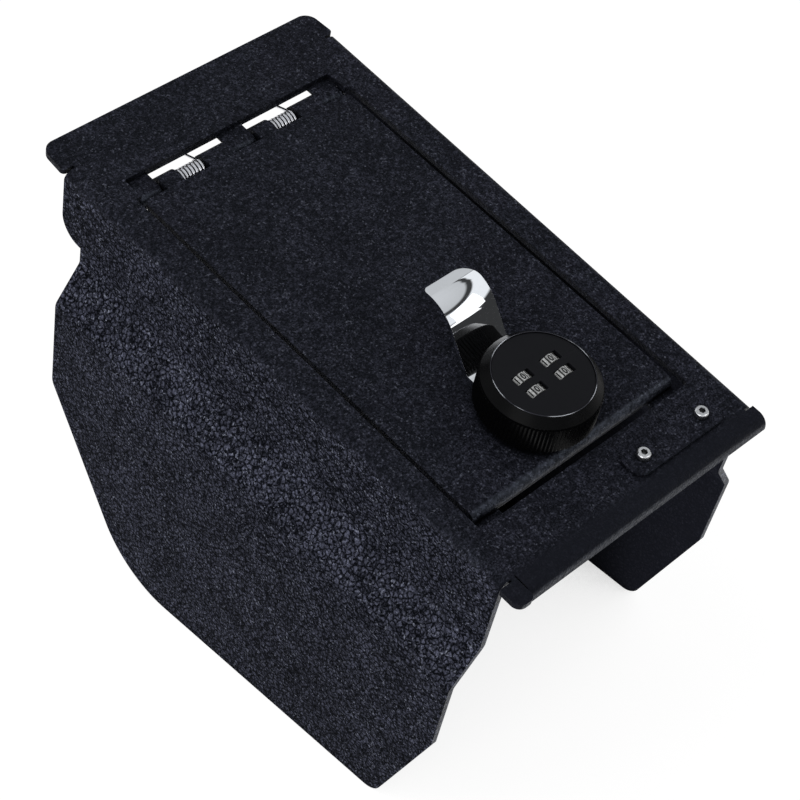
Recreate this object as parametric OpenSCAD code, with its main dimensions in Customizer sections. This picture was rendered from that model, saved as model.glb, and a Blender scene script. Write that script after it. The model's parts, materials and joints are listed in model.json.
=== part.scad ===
// Console safe: a folded steel shell that fills a centre console, with a hinged
// lid, a finger pull and a four-dial lock. The shell has no floor or end walls,
// because the console around it closes them. Millimetres throughout.
// Everything is drawn level with the deck, then tipped so that the lower edges
// of the side walls stand flat, which slopes the deck down to the front.

/* [Shell] */
// Thickness of the shell's sheet
sheet_t = 2.7; // [2:0.1:3.4]
// Width of the deck over the side walls, at their front edge
deck_w = 139.7; // [120:0.1:170]
// How far the side walls reach ahead of the origin
wall_front = 121.8; // [105:0.1:150]
// How far the upper part of the side walls reaches behind the origin
wall_rear = 127.2; // [110:0.1:160]
// How far each side wall spreads towards the rear, for each unit of its length
spread = 0.014; // [0:0.002:0.03]
// Outer radius of the fold between deck and side wall
deck_fold_r = 4.2; // [3.6:0.1:6]
// Depth below the deck at which the side walls start to step out
step_top = 42.5; // [30:0.5:60]
// Depth below the deck at which the step ends
step_bottom = 61; // [54:0.5:84]
// How far the lower side walls stand out from the upper ones
step_out = 11.8; // [8:0.1:20]
// Inner radius of the two folds of the step
step_fold_r = 4; // [2:0.5:6]

/* [Side wall outline] */
// How far the upper wall reaches behind the lower wall
tab_len = 12.2; // [6:0.1:20]
// Depth of that upper tab
tab_depth = 34; // [26:0.5:40]
// Radius of the tab's lower corner
tab_r = 11; // [4:0.5:13]
// Depth of the front edge before it slants back
front_edge = 102.6; // [85:0.1:130]
// Depth of the rear edge before it slants forward
rear_edge = 112.4; // [95:0.1:140]
// Depth of the wall at the front of its lower edge
foot_front = 169; // [150:0.1:190]
// Depth of the wall at the rear of its lower edge
foot_rear = 196.6; // [190:0.1:225]
// Setback of the lower edge from the wall's front edge
foot_front_in = 19.2; // [8:0.1:30]
// Setback of the lower edge from the lower wall's rear edge
foot_rear_in = 56.9; // [45:0.1:70]
// Radius of the large corner at the rear foot
foot_rear_r = 43; // [20:1:46]
// Radius of the small corner at the front foot
foot_front_r = 10; // [4:1:14]
// Radius of the rear screw hole in each wall
wall_hole_r = 2.2; // [1.5:0.05:3]
// Radius of the front pilot hole in each wall
pilot_hole_r = 1; // [0.8:0.05:2]
// Depth of the wall holes below the deck
wall_hole_z = 106.2; // [85:0.1:125]
// Setback of the front wall hole from the wall's front edge
wall_hole_front = 60.3; // [40:0.1:80]
// Spacing of the two wall holes
wall_hole_pitch = 113.9; // [80:0.1:120]

/* [Deck] */
// Length of the rear flange behind the side walls
flange_len = 17.1; // [10:0.1:30]
// Width of the rear flange
flange_w = 146.2; // [120:0.1:180]
// Corner radius of the rear flange
flange_r = 6; // [2:0.5:9]
// Width of the lid opening
open_w = 115.5; // [96:0.5:120]
// Border of deck ahead of the opening, from the side walls' front edge
border_front = 22.6; // [20:0.1:40]
// Border of deck behind the opening, from the side walls' rear edge
border_rear = 16.6; // [14:0.1:30]
// How far the opening narrows on each side, beside the hinge
shoulder_in = 2.7; // [1:0.1:4]
// Length of that narrow part of the opening
shoulder_len = 10.8; // [10:0.1:14]
// How far the opening and all that is in it sit right of the middle
open_shift = -1; // [-3:0.1:3]
// Length of the flat ear at the deck's left front corner
ear_len = 11; // [9.8:0.1:14]
// Width of that ear
ear_w = 8.4; // [8:0.1:12]
// Gap between the ear and the front lip
ear_gap = 0.6; // [0.4:0.1:2]
// How far the ear and the lip sit right of the middle
front_shift = -1; // [-1.4:0.1:0]
// How far the front lip runs level ahead of the side walls
lip_level = 4.2; // [2:0.1:6]
// Outer radius of the front lip's fold
lip_r = 5; // [3.2:0.1:8]
// Angle through which the front lip is folded down
lip_angle = 75; // [45:1:90]
// Straight part of the front lip below its fold
lip_drop = 2; // [1:0.1:6]
// Width of the slots between the rear flange and the side walls
slot_w = 1.3; // [1:0.1:3]

/* [Lid] */
// Thickness of the lid's sheet
lid_t = 3; // [2.5:0.1:3.5]
// How far the lid lies below the deck
lid_drop = 1.2; // [0.6:0.1:2]
// Gap between the lid and each side of the opening
lid_side_gap = 2.6; // [1.5:0.1:5]
// Gap between the lid and the front of the opening
lid_front_gap = 4.8; // [3:0.1:9]
// Height of the flange folded down along the lid's front
lid_flange_h = 4.8; // [4.5:0.1:8]
// Corner radius of the lid's outline
lid_corner_r = 3; // [1:0.5:6]

/* [Hinge] */
// Radius of the hinge rod
rod_r = 2.5; // [2:0.1:2.6]
// Distance of the rod's axis ahead of the opening's rear edge
rod_in = 7.9; // [7.2:0.1:9]
// Radial running clearance of the lid on the rod
rod_gap = 0.08; // [0.03:0.01:0.1]
// Radial clearance of the rod in its fixed lugs
lug_gap = 0.03; // [0.01:0.01:0.05]
// Width of the middle lug
mid_lug_w = 12.8; // [8:0.1:16]
// Width of each side lug
side_lug_w = 11.4; // [6:0.1:12]
// Width of each hinge tongue of the lid
tongue_w = 35.6; // [28:0.1:36]
// Gap between tongues and lugs
lug_side_gap = 0.8; // [0.3:0.1:1.2]
// How far the hinge leaf reaches back under the deck
lug_len = 17; // [10:0.5:19]
// Gap between the lid's rear edge and the rod's axis
lid_rear_in = 4.9; // [4.7:0.1:7]
// How far each spring's notch sits right of the middle of its tongue
notch_shift = -2.1; // [-3:0.1:3]
// Width of the spring notch in each tongue
notch_w = 13.4; // [13.2:0.1:18]

/* [Springs] */
// Diameter of the spring wire
wire_d = 1.3; // [1.1:0.05:1.3]
// Radius of the coil at the middle of the wire
coil_r = 4.1; // [4:0.05:4.2]
// Distance from turn to turn
coil_pitch = 1.75; // [1.75:0.01:1.85]
// Number of full turns
coil_turns = 6; // [3:1:6]
// Length of the leg that holds under the deck
rear_leg = 9; // [7:0.5:11]
// Length of the leg that lies under the lid
front_leg = 9; // [7:0.5:16]

/* [Lock] */
// Radius of the knob over its ribs
knob_r = 24.5; // [22:0.5:26]
// Height of the knob
knob_h = 17; // [15:0.5:20]
// Radius of the knob's flat top
knob_top_r = 20.7; // [18:0.1:22]
// Height of the chamfer at the top of the knob
knob_chamfer = 4.4; // [2:0.1:6]
// Number of ribs around the knob
rib_count = 96; // [60:4:110]
// Depth of the ribs
rib_depth = 0.5; // [0.3:0.1:0.8]
// Setback of the knob's centre from the lid's front edge
lock_in = 24.3; // [22:0.1:40]
// Radius of the threaded barrel that passes through the lid
barrel_r = 9.5; // [8:0.1:11]
// Radius of the turning spindle
spindle_r = 5; // [4:0.1:6]
// Running clearance of the spindle in the barrel
spindle_gap = 0.06; // [0.03:0.01:0.1]
// Length of the cam from the spindle's axis
cam_reach = 41; // [38:0.5:43]
// Width of the cam
cam_w = 12; // [10:0.5:14]
// Thickness of the cam
cam_t = 2.5; // [2:0.1:3]

/* [Dials] */
// Radius of a dial
dial_r = 5; // [4.8:0.1:5.1]
// Width of a dial along its axle
dial_w = 3.7; // [3:0.1:3.9]
// Distance between the two axles
axle_pitch = 15; // [14.4:0.1:16]
// Distance between the two dials on an axle
dial_pitch = 7.5; // [6.8:0.1:8.5]
// Radius of a dial axle
axle_r = 1.2; // [0.9:0.1:1.6]
// Running clearance of a dial on its axle
axle_gap = 0.05; // [0.02:0.01:0.1]
// Length of a dial window
window_l = 8.8; // [8.6:0.1:9.4]
// Width of a dial window
window_w = 4.2; // [4:0.1:5]

/* [Finger pull] */
// Width of the finger pull
pull_w = 24; // [18:0.5:28]
// Thickness of the finger pull
pull_t = 1.6; // [1.2:0.1:2]
// Height of the pull's top above its base
pull_h = 22.4; // [19:0.1:30]
// Angle at which the pull rises
pull_angle = 51; // [45:1:60]
// Length of the top of the pull behind its upper fold
pull_lip = 12.2; // [10:0.1:20]
// Outer radius of the pull's upper fold
pull_fold_r = 18; // [6:0.5:19]

/* [Cover plate] */
// Length of the cover plate
cover_l = 50.5; // [44:0.5:60]
// Width of the cover plate
cover_w = 13.7; // [11:0.1:15]
// Thickness of the cover plate
cover_t = 1.5; // [1:0.1:2]
// Corner radius of the cover plate
cover_r = 5; // [2:0.5:5.4]
// Spacing of the two cover screws
cover_pitch = 33.4; // [26:0.1:40]
// Setback of the cover plate's middle from the side walls' front edge
cover_in = 8.2; // [8:0.1:12]
// Inset of the cover plate's end from the right edge of the opening
cover_inset = 0.7; // [0:0.1:6]
// Radius of the cover screws' shanks
screw_r = 1.5; // [1.2:0.1:2]

/* [Hidden] */
$fn = 64;

// A little overlap where two solids of one sheet join
bite = 0.5;
// Gap between pieces that move past each other
move_gap = 0.3;
// Radial gap of a fixed piece in its hole
fixed_gap = 0.03;

// Places along the deck, with +Y to the rear
deck_front = -wall_front;
open_front = deck_front + border_front;
open_rear = wall_rear - border_rear;
open_x = open_shift;
flange_end = wall_rear + flange_len;
ear_front = deck_front - ear_len;
lip_start = deck_front + 0.6;
lower_rear = wall_rear - tab_len;
foot_front_y = deck_front + foot_front_in;
foot_rear_y = lower_rear - foot_rear_in;

// Half width over the side walls at a place along the deck
spread_angle = asin(spread);
function half_w(y) = deck_w / 2 + (y - deck_front) * tan(spread_angle);

// Tip of the part, from the slope of the walls' lower edge
tilt = atan((foot_rear - foot_front) / (foot_rear_y - foot_front_y));
lift = foot_rear * cos(tilt) - foot_rear_y * sin(tilt);
front_reach = ear_front * cos(tilt);
rear_reach = flange_end * cos(tilt) + sheet_t * sin(tilt);
centre_y = (front_reach + rear_reach) / 2;

// Lid and hinge, with heights measured from the deck's top face
lid_w = open_w - 2 * lid_side_gap;
lid_front = open_front + lid_front_gap;
lid_top = -lid_drop;
lid_bottom = lid_top - lid_t;
rod_y = open_rear - rod_in;
rod_z = lid_bottom - rod_r - rod_gap;
lid_rear = rod_y - lid_rear_in;
lid_curl_r = rod_r + rod_gap + lid_t;
lid_fold_r = 4;
lug_curl_r = -sheet_t - rod_z;
lug_t = lug_curl_r - rod_r - lug_gap;
curl_angle = 290;
tongue_in = mid_lug_w / 2 + lug_side_gap;
tongue_out = tongue_in + tongue_w;
side_lug_x = tongue_out + lug_side_gap + side_lug_w / 2;
tongue_x = (tongue_in + tongue_out) / 2;
rod_half = side_lug_x + side_lug_w / 2 + 1.8;
clip_t = 0.8;
clip_r = lug_curl_r - 0.2;

// Lock, from the lid upwards and downwards
lock_x = open_x;
lock_y = lid_front + lock_in;
pull_top = lid_top + pull_t;
barrel_flange_t = 1;
barrel_flange_r = 14;
knob_z = pull_top + barrel_flange_t + move_gap;
knob_top = knob_z + knob_h;
face_t = 1.6;
face_z = knob_top - move_gap - face_t;
face_r = knob_top_r - 0.6;
dial_proud = 0.5;
washer_t = 0.8;
nut_t = 3.5;
nut_across = 24;
nut_z = lid_bottom - washer_t - nut_t;
barrel_end = nut_z - washer_t;
cam_top = barrel_end - move_gap;
cam_tip_top = lid_top - lid_flange_h - move_gap;
cam_joggle = cam_tip_top - cam_top;
cam_hub_l = 15;
cam_joggle_l = 8;
flat_w = 7;
flat_r = 4.2;
cam_screw_r = 2;
strike_gap = 0.6;
strike_z = cam_tip_top + strike_gap;
strike_w = 18;
strike_l = 13;

// Dials inside the knob
axle_z = face_z + face_t + dial_proud - dial_r;
core_floor = axle_z - dial_r - 2.4;
axle_half = dial_pitch / 2 + dial_w / 2 + 4.5;
pocket_x = axle_pitch / 2 + dial_r + move_gap;
pocket_y = dial_pitch / 2 + dial_w / 2 + 0.4;
leaf_t = 0.25;

// Rest tabs for the closed lid
stop_t = 2;
stop_w = 14;
stop_x = lid_w / 2 - stop_w / 2 + 0.6;
stop_top = cam_tip_top;
stop_front = open_front - 7;
stop_back = open_front - 1.5;
stop_rear = lid_front + 6;

// Cover plate and its screws
cover_x = open_x + open_w / 2 - cover_inset - cover_l / 2;
cover_y = deck_front + cover_in;
head_r = 2.8;
head_h = 3;
hex_r = 1.45;
cover_nut_across = 5.5;
cover_nut_t = 2.4;

// Middle of the folded pull's base fold, just behind the knob
pull_fold_y = lock_y + knob_r + 0.4;
pull_base_r = 3;
pull_start = -13;

// Frame of the whole part: deck coordinates tipped and set on the lower edges
module stand() {
    translate([0, -centre_y, lift]) rotate([tilt, 0, 0]) children();
}

// Unit vector, and a direction at an angle
function unit(v) = v / norm(v);
function along(a) = [cos(a), sin(a)];

// Tangent points and centre of a corner at v, rounded between a and b
function corner_half(a, v, b) = acos(unit(a - v) * unit(b - v)) / 2;
function corner_run(a, v, b, r) = r / tan(corner_half(a, v, b));
function corner_centre(a, v, b, r) =
    v + unit(unit(a - v) + unit(b - v)) * r / sin(corner_half(a, v, b));

// Arcs are drawn this much larger than their tangent circle, so that they cross
// the edges they round instead of only touching them
over = 0.01;

// What lies between a rounded corner and its sharp vertex, and a little beyond
module corner_piece(a, v, b, r) {
    d = 0.3;
    c = corner_centre(a, v, b, r);
    t1 = v + unit(a - v) * corner_run(a, v, b, r);
    t2 = v + unit(b - v) * corner_run(a, v, b, r);
    difference() {
        polygon([c, t1, t1 + unit(t1 - c) * d,
            v + unit(v - c) * d / sin(corner_half(a, v, b)),
            t2 + unit(t2 - c) * d, t2]);
        translate(c) circle(r = r + over);
    }
}

// A polygon of points [x, y, radius]. A positive radius rounds an outer corner,
// a negative one fills an inner corner, and 0 leaves it sharp.
module rounded_outline(pts) {
    n = len(pts);
    function at(i) = [pts[(i + n) % n][0], pts[(i + n) % n][1]];
    function tangent(i, j, r) =
        at(i) + unit(at(j) - at(i)) * corner_run(at(i - 1), at(i), at(i + 1), r);
    function ends(i) = pts[i][2] >= 0 ? [at(i)] :
        [tangent(i, i - 1, -pts[i][2]), tangent(i, i + 1, -pts[i][2])];
    difference() {
        polygon([for (i = [0 : n - 1]) each ends(i)]);
        for (i = [0 : n - 1]) {
            if (pts[i][2] > 0) corner_piece(at(i - 1), at(i), at(i + 1), pts[i][2]);
            if (pts[i][2] < 0)
                translate(corner_centre(at(i - 1), at(i), at(i + 1), -pts[i][2]))
                    circle(r = over - pts[i][2]);
        }
    }
}

// A rectangle with rounded corners, centred at x = 0 and running from y0 to y1
module rounded_box(w, y0, y1, r) {
    rounded_outline([[-w / 2, y0, r], [w / 2, y0, r], [w / 2, y1, r], [-w / 2, y1, r]]);
}

// A folded strip in section. Each step is a straight length or a fold: a fold
// has its angle, positive to turn down and negative to turn up, and its inner
// radius. The strip's upper face starts along the X axis and its thickness is
// below that face. Pairs of corners, above and below, come from the steps.
function strip_pairs(steps, t, i = 0, p = [0, 0], a = 0) =
    i == len(steps) ? [[[p[0], p[1], 0], edge_below(p, a, t, 0)]] :
    len(steps[i]) == 1 ? strip_pairs(steps, t, i + 1, p + steps[i][0] * along(a), a) :
    let (s = steps[i], turn = abs(s[0]), down = s[0] > 0,
        up_r = down ? s[1] + t : s[1],
        low_r = down ? s[1] : s[1] + t,
        up = p + up_r * tan(turn / 2) * along(a),
        low = p - t * along(a + 90) + low_r * tan(turn / 2) * along(a),
        next = up + up_r * tan(turn / 2) * along(a - s[0]))
    concat([[[up[0], up[1], down ? up_r : -up_r], [low[0], low[1], down ? -low_r : low_r]]],
        strip_pairs(steps, t, i + 1, next, a - s[0]));
function edge_below(p, a, t, r) = let (q = p - t * along(a + 90)) [q[0], q[1], r];
module folded(steps, t) {
    pairs = strip_pairs(steps, t);
    n = len(pairs);
    rounded_outline(concat([[0, -t, 0], [0, 0, 0]],
        [for (i = [0 : n - 1]) pairs[i][0]],
        [for (i = [0 : n - 1]) pairs[n - 1 - i][1]]));
}

// A strip that runs straight and then curls down round a circle
module curled(length, sweep, inner, t) {
    outer = inner + t;
    slices = ceil(sweep / 50);
    translate([0, -t]) square([length, t]);
    translate([length, -outer]) intersection() {
        difference() {
            circle(r = outer);
            circle(r = inner);
        }
        polygon(concat([[0, 0]],
            [for (i = [0 : slices]) 2 * outer * along(90 - sweep * i / slices)]));
    }
}

// Sections drawn flat are stood up: along +Y or -Y, and as wide as w about x = 0
module section_to_rear(w) {
    rotate([90, 0, 90]) linear_extrude(height = w, center = true) children();
}
module section_to_front(w) {
    rotate([90, 0, -90]) linear_extrude(height = w, center = true) children();
}

// Length that a fold takes from the straight beside it
function fold_run(r, angle) = r * tan(angle / 2);

// Outline of the side walls, in Y and Z
module wall_outline() {
    rounded_outline([
        [deck_front, 1, 0],
        [deck_front, -front_edge, 3],
        [foot_front_y, -foot_front, foot_front_r],
        [foot_rear_y, -foot_rear, foot_rear_r],
        [lower_rear, -rear_edge, 8],
        [lower_rear, -tab_depth, 0],
        [wall_rear, -tab_depth, tab_r],
        [wall_rear, 1, 0]]);
}

// Section across one side wall: deck fold, upper wall, step and lower wall
step_angle = atan(step_out / (step_bottom - step_top));
step_len = norm([step_out, step_bottom - step_top]);
module wall_section() {
    outer = step_fold_r + sheet_t;
    run_in = fold_run(step_fold_r, step_angle);
    run_out = fold_run(outer, step_angle);
    translate([-deck_fold_r - 3, 0]) folded([
        [3],
        [90, deck_fold_r - sheet_t],
        [step_top - deck_fold_r - run_in],
        [-step_angle, step_fold_r],
        [step_len - run_in - run_out],
        [step_angle, step_fold_r],
        [foot_rear]], sheet_t);
}

// The right side wall, spread by its angle and cut to its outline
module side_wall() {
    length = wall_rear + wall_front + 20;
    intersection() {
        translate([deck_w / 2, deck_front, 0]) rotate([0, 0, -spread_angle])
            difference() {
                translate([0, length - 10, 0]) rotate([90, 0, 0])
                    linear_extrude(height = length) wall_section();
                for (i = [0, 1])
                    translate([step_out, wall_hole_front + i * wall_hole_pitch, -wall_hole_z])
                        rotate([0, 90, 0])
                            cylinder(r = i == 0 ? pilot_hole_r : wall_hole_r,
                                h = 4 * sheet_t, center = true);
            }
        rotate([90, 0, 90]) linear_extrude(height = deck_w, center = false) wall_outline();
    }
}

// Flat part of the deck, with the rear flange, ear, opening and slots
module deck_outline() {
    fold_in = deck_fold_r + 1.5;
    difference() {
        union() {
            polygon([
                [-half_w(lip_start) + fold_in, lip_start],
                [half_w(lip_start) - fold_in, lip_start],
                [half_w(wall_rear) - fold_in, wall_rear],
                [-half_w(wall_rear) + fold_in, wall_rear]]);
            neck = half_w(wall_rear) - deck_fold_r - slot_w;
            translate([-neck, wall_rear - bite]) square([2 * neck, slot_w + 2 * bite]);
            flange_start = wall_rear + slot_w;
            rounded_outline([
                [-flange_w / 2, flange_start, 2],
                [flange_w / 2, flange_start, 2],
                [flange_w / 2 - 1, flange_end, flange_r],
                [-flange_w / 2 + 1, flange_end, flange_r]]);
            ear_outline();
        }
        translate([open_x, 0]) opening_outline();
        for (i = [-1, 1])
            translate([cover_x + i * cover_pitch / 2, cover_y]) circle(r = screw_r + 0.2);
    }
}

// Opening for the lid, narrower beside the hinge
module opening_outline() {
    side = open_w / 2;
    shoulder = open_rear - shoulder_len;
    rounded_outline([
        [-side, open_front, 2], [side, open_front, 2],
        [side, shoulder, 1], [side - shoulder_in, shoulder, 0],
        [side - shoulder_in, open_rear, 1], [-side + shoulder_in, open_rear, 1],
        [-side + shoulder_in, shoulder, 0], [-side, shoulder, 1]]);
}

// Ear and lip: places across the deck, from the ear's outer edge to the lip's
// right end. The root is where the deck's flat part ends at the side walls.
ear_left = front_shift - deck_w / 2 - 0.6;
ear_right = ear_left + ear_w;
lip_left = ear_right + ear_gap;
lip_right = front_shift + deck_w / 2 + 0.6;
front_root = half_w(deck_front) - deck_fold_r - 0.5;
wall_gap = 0.8;
module ear_outline() {
    polygon([[ear_right, lip_start + bite], [ear_right, deck_front - 2],
        [-front_root, deck_front - 2], [-front_root, lip_start + bite]]);
    rounded_outline([
        [ear_left, ear_front, 4],
        [ear_right, ear_front, 2.5],
        [ear_right, deck_front - wall_gap, 0],
        [ear_left, deck_front - wall_gap, 0.6]]);
}

// Lip folded down along the deck's front, from the ear to the right-hand corner
module front_lip() {
    low = lip_r * (1 - cos(lip_angle)) + lip_drop * sin(lip_angle) + sheet_t * cos(lip_angle);
    difference() {
        intersection() {
            translate([(lip_left + lip_right) / 2, lip_start + 1, 0])
                section_to_front(lip_right - lip_left)
                    folded([
                        [1 + lip_start - deck_front + lip_level],
                        [lip_angle, lip_r - sheet_t],
                        [lip_drop]], sheet_t);
            rotate([90, 0, 0]) translate([0, 0, -lip_start - 3])
                linear_extrude(height = 30)
                    rounded_outline([[lip_left - 0.1, 1, 0], [lip_left - 0.1, -low - 0.1, 2.5],
                        [lip_right + 0.1, -low - 0.1, 2.5], [lip_right + 0.1, 1, 0]]);
        }
        translate([front_root, deck_front - wall_gap, -20]) cube([20, 20, 30]);
    }
}

module body_shell() {
    color([0.11, 0.11, 0.12]) stand() union() {
        translate([0, 0, -sheet_t]) linear_extrude(height = sheet_t) deck_outline();
        side_wall();
        mirror([1, 0, 0]) side_wall();
        front_lip();
    }
}

// Fixed hinge leaf under the deck, with three lugs that curl round the rod
module hinge_leaf() {
    gap_w = tongue_w + 2 * lug_side_gap;
    color([0.12, 0.12, 0.13]) stand() translate([open_x, 0, 0]) difference() {
        translate([0, rod_y + lug_len, -sheet_t]) section_to_front(2 * side_lug_x + side_lug_w)
            curled(lug_len, curl_angle, rod_r + lug_gap, lug_t);
        for (side = [-1, 1])
            translate([side * tongue_x - gap_w / 2, open_rear - 20, -20])
                cube([gap_w, 20, 30]);
    }
}

module hinge_rod() {
    color([0.6, 0.6, 0.62]) stand() translate([open_x, rod_y, rod_z]) rotate([0, 90, 0])
        cylinder(r = rod_r, h = 2 * rod_half, center = true);
}

// A snap ring on each end of the rod, outside the side lugs
module rod_clip(side) {
    x = side_lug_x + side_lug_w / 2 + 0.4 + clip_t / 2;
    color([0.3, 0.3, 0.31]) stand() translate([open_x + side * x, rod_y, rod_z])
        rotate([0, 90, 0]) difference() {
            cylinder(r = clip_r, h = clip_t, center = true);
            cylinder(r = rod_r + fixed_gap, h = 3 * clip_t, center = true);
            translate([clip_r, 0, 0]) cube([clip_r * 2, 2.6, 3 * clip_t], center = true);
        }
}
module rod_clip_left() { rod_clip(-1); }
module rod_clip_right() { rod_clip(1); }

// Springs. The route runs up the rear leg, round the turns and out along the
// front leg, in X along the rod, Y to the rear and Z up from the rod's axis.
coil_steps = 8;
ring_sides = 6;
leg_steps = 2;
rear_leg_drop = 22;
front_leg_drop = 34;
coil_from = 90 - rear_leg_drop;
coil_to = 90 + front_leg_drop + 360 * coil_turns;
coil_rings = coil_turns * coil_steps + 1;
function coil_point(a) = [coil_pitch * ((coil_to - coil_from) / 2 + coil_from - a) / 360,
    coil_r * cos(a), coil_r * sin(a)];
rear_dir = [0, sin(coil_from), -cos(coil_from)];
front_dir = [0, -sin(coil_to), cos(coil_to)];
rear_pts = [for (i = [leg_steps : -1 : 1])
    coil_point(coil_from) + rear_dir * rear_leg * i / leg_steps];
turn_pts = [for (i = [0 : coil_rings])
    coil_point(coil_from + i * (coil_to - coil_from) / coil_rings)];
front_pts = [for (i = [1 : leg_steps])
    coil_point(coil_to) + front_dir * front_leg * i / leg_steps];
spring_route = concat(rear_pts, turn_pts, front_pts);

// Least distance between the surfaces of neighbouring turns, worked out on the
// route's own points that lie more than half a turn apart
spring_gap = min([for (i = [0 : len(spring_route) - 1])
    for (j = [i + 1 : len(spring_route) - 1])
        if (j - i > coil_steps / 2) norm(spring_route[i] - spring_route[j])]) - wire_d;
echo(spring_gap = spring_gap);

// Directions of a tube's ring: square to the route, and turned as little as possible
function route_dir(p, i) = unit(p[min(i + 1, len(p) - 1)] - p[max(i - 1, 0)]);
function ring_at(p, i, r) =
    let (d = route_dir(p, i), u = unit(cross(d, [1, 0, 0])), v = cross(d, u))
    [for (k = [0 : ring_sides - 1])
        p[i] + r * (u * cos(k * 360 / ring_sides) + v * sin(k * 360 / ring_sides))];
module tube(p, r) {
    n = len(p);
    verts = [for (i = [0 : n - 1]) each ring_at(p, i, r)];
    walls = [for (i = [0 : n - 2]) for (k = [0 : ring_sides - 1])
        let (a = i * ring_sides + k, b = i * ring_sides + (k + 1) % ring_sides)
        each [[a, b, b + ring_sides], [a, b + ring_sides, a + ring_sides]]];
    start = [for (k = [1 : ring_sides - 2]) [0, k + 1, k]];
    last = (n - 1) * ring_sides;
    finish = [for (k = [1 : ring_sides - 2]) [last, last + k, last + k + 1]];
    polyhedron(points = verts, faces = concat(walls, start, finish));
}
module hinge_spring(x) {
    color([0.8, 0.8, 0.82]) stand() translate([x, rod_y, rod_z]) tube(spring_route, wire_d / 2);
}
module spring_left() { hinge_spring(open_x - tongue_x + notch_shift); }
module spring_right() { hinge_spring(open_x + tongue_x + notch_shift); }

// Cover plate with two socket screws and their nuts under the deck
module at_cover_screws() {
    for (i = [-1, 1]) translate([cover_x + i * cover_pitch / 2, cover_y, 0]) children();
}
module cover_plate() {
    color([0.1, 0.1, 0.11]) stand() difference() {
        translate([cover_x, cover_y, 0]) linear_extrude(height = cover_t)
            rounded_box(cover_l, -cover_w / 2, cover_w / 2, cover_r);
        at_cover_screws() cylinder(r = screw_r + 0.2, h = 4 * cover_t, center = true);
    }
}
module cover_screws() {
    shank = cover_t + sheet_t + cover_nut_t + 1;
    color([0.75, 0.75, 0.77]) stand() at_cover_screws() translate([0, 0, cover_t])
        difference() {
            union() {
                cylinder(r = head_r, h = head_h - 0.5);
                translate([0, 0, head_h - 0.5]) cylinder(r1 = head_r, r2 = head_r - 0.5, h = 0.5);
                translate([0, 0, -shank]) cylinder(r = screw_r, h = shank + bite);
            }
            translate([0, 0, head_h - 1.6]) cylinder(r = hex_r, h = 3, $fn = 6);
        }
}
module cover_nuts() {
    color([0.7, 0.7, 0.72]) stand() at_cover_screws()
        translate([0, 0, -sheet_t - cover_nut_t]) difference() {
            cylinder(r = cover_nut_across / sqrt(3), h = cover_nut_t, $fn = 6);
            cylinder(r = screw_r + fixed_gap, h = 3 * cover_nut_t, center = true);
        }
}

// Block welded under the front border, which the cam turns under
module latch_strike() {
    color([0.12, 0.12, 0.13]) stand()
        translate([lock_x - strike_w / 2, open_front - strike_l - 1, strike_z])
            cube([strike_w, strike_l, -sheet_t - strike_z]);
}

// Blocks under the front border with a shelf on which the closed lid rests
module lid_stop(side) {
    color([0.12, 0.12, 0.13]) stand()
        translate([open_x + side * stop_x, stop_rear, 0]) section_to_front(stop_w)
            polygon([[0, stop_top], [stop_rear - stop_back, stop_top],
                [stop_rear - stop_back, -sheet_t], [stop_rear - stop_front, -sheet_t],
                [stop_rear - stop_front, stop_top - stop_t], [0, stop_top - stop_t]]);
}
module lid_stop_left() { lid_stop(-1); }
module lid_stop_right() { lid_stop(1); }

// Lid: a flat sheet with its front edge folded down and two tongues that curl
// round the rod, each with a notch for a spring
module lid_plate() {
    front_flat = lid_front + lid_fold_r;
    color([0.1, 0.1, 0.11]) stand() translate([open_x, 0, lid_top]) difference() {
        union() {
            translate([0, 0, -lid_t]) linear_extrude(height = lid_t)
                union() {
                    rounded_box(lid_w, front_flat + bite, lid_rear, lid_corner_r);
                    translate([-lid_w / 2, front_flat + bite])
                        square([lid_w, 2 * lid_corner_r]);
                }
            intersection() {
                translate([0, front_flat + 1, 0]) section_to_front(lid_w)
                    folded([[1], [90, lid_fold_r - lid_t], [lid_flange_h - lid_fold_r]], lid_t);
                rotate([90, 0, 0]) translate([0, 0, -front_flat - 3])
                    linear_extrude(height = 3 * lid_fold_r)
                        rounded_outline([[-lid_w / 2, 1, 0], [-lid_w / 2, -lid_flange_h, 1.5],
                            [lid_w / 2, -lid_flange_h, 1.5], [lid_w / 2, 1, 0]]);
            }
            for (side = [-1, 1])
                translate([side * tongue_x, lid_rear - bite, 0]) section_to_rear(tongue_w)
                    curled(rod_y - lid_rear + bite, curl_angle, lid_curl_r - lid_t, lid_t);
        }
        for (side = [-1, 1])
            translate([side * tongue_x + notch_shift - notch_w / 2, 0, 0]) {
                translate([0, lid_rear, -8 * lid_t]) cube([notch_w, 40, 10 * lid_t]);
                translate([0, rod_y - 2 * lid_curl_r, -11 * lid_t])
                    cube([notch_w, 40, 10 * lid_t]);
            }
        translate([0, lock_y, -2 * lid_t]) cylinder(r = barrel_r + fixed_gap, h = 4 * lid_t);
    }
}

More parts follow.
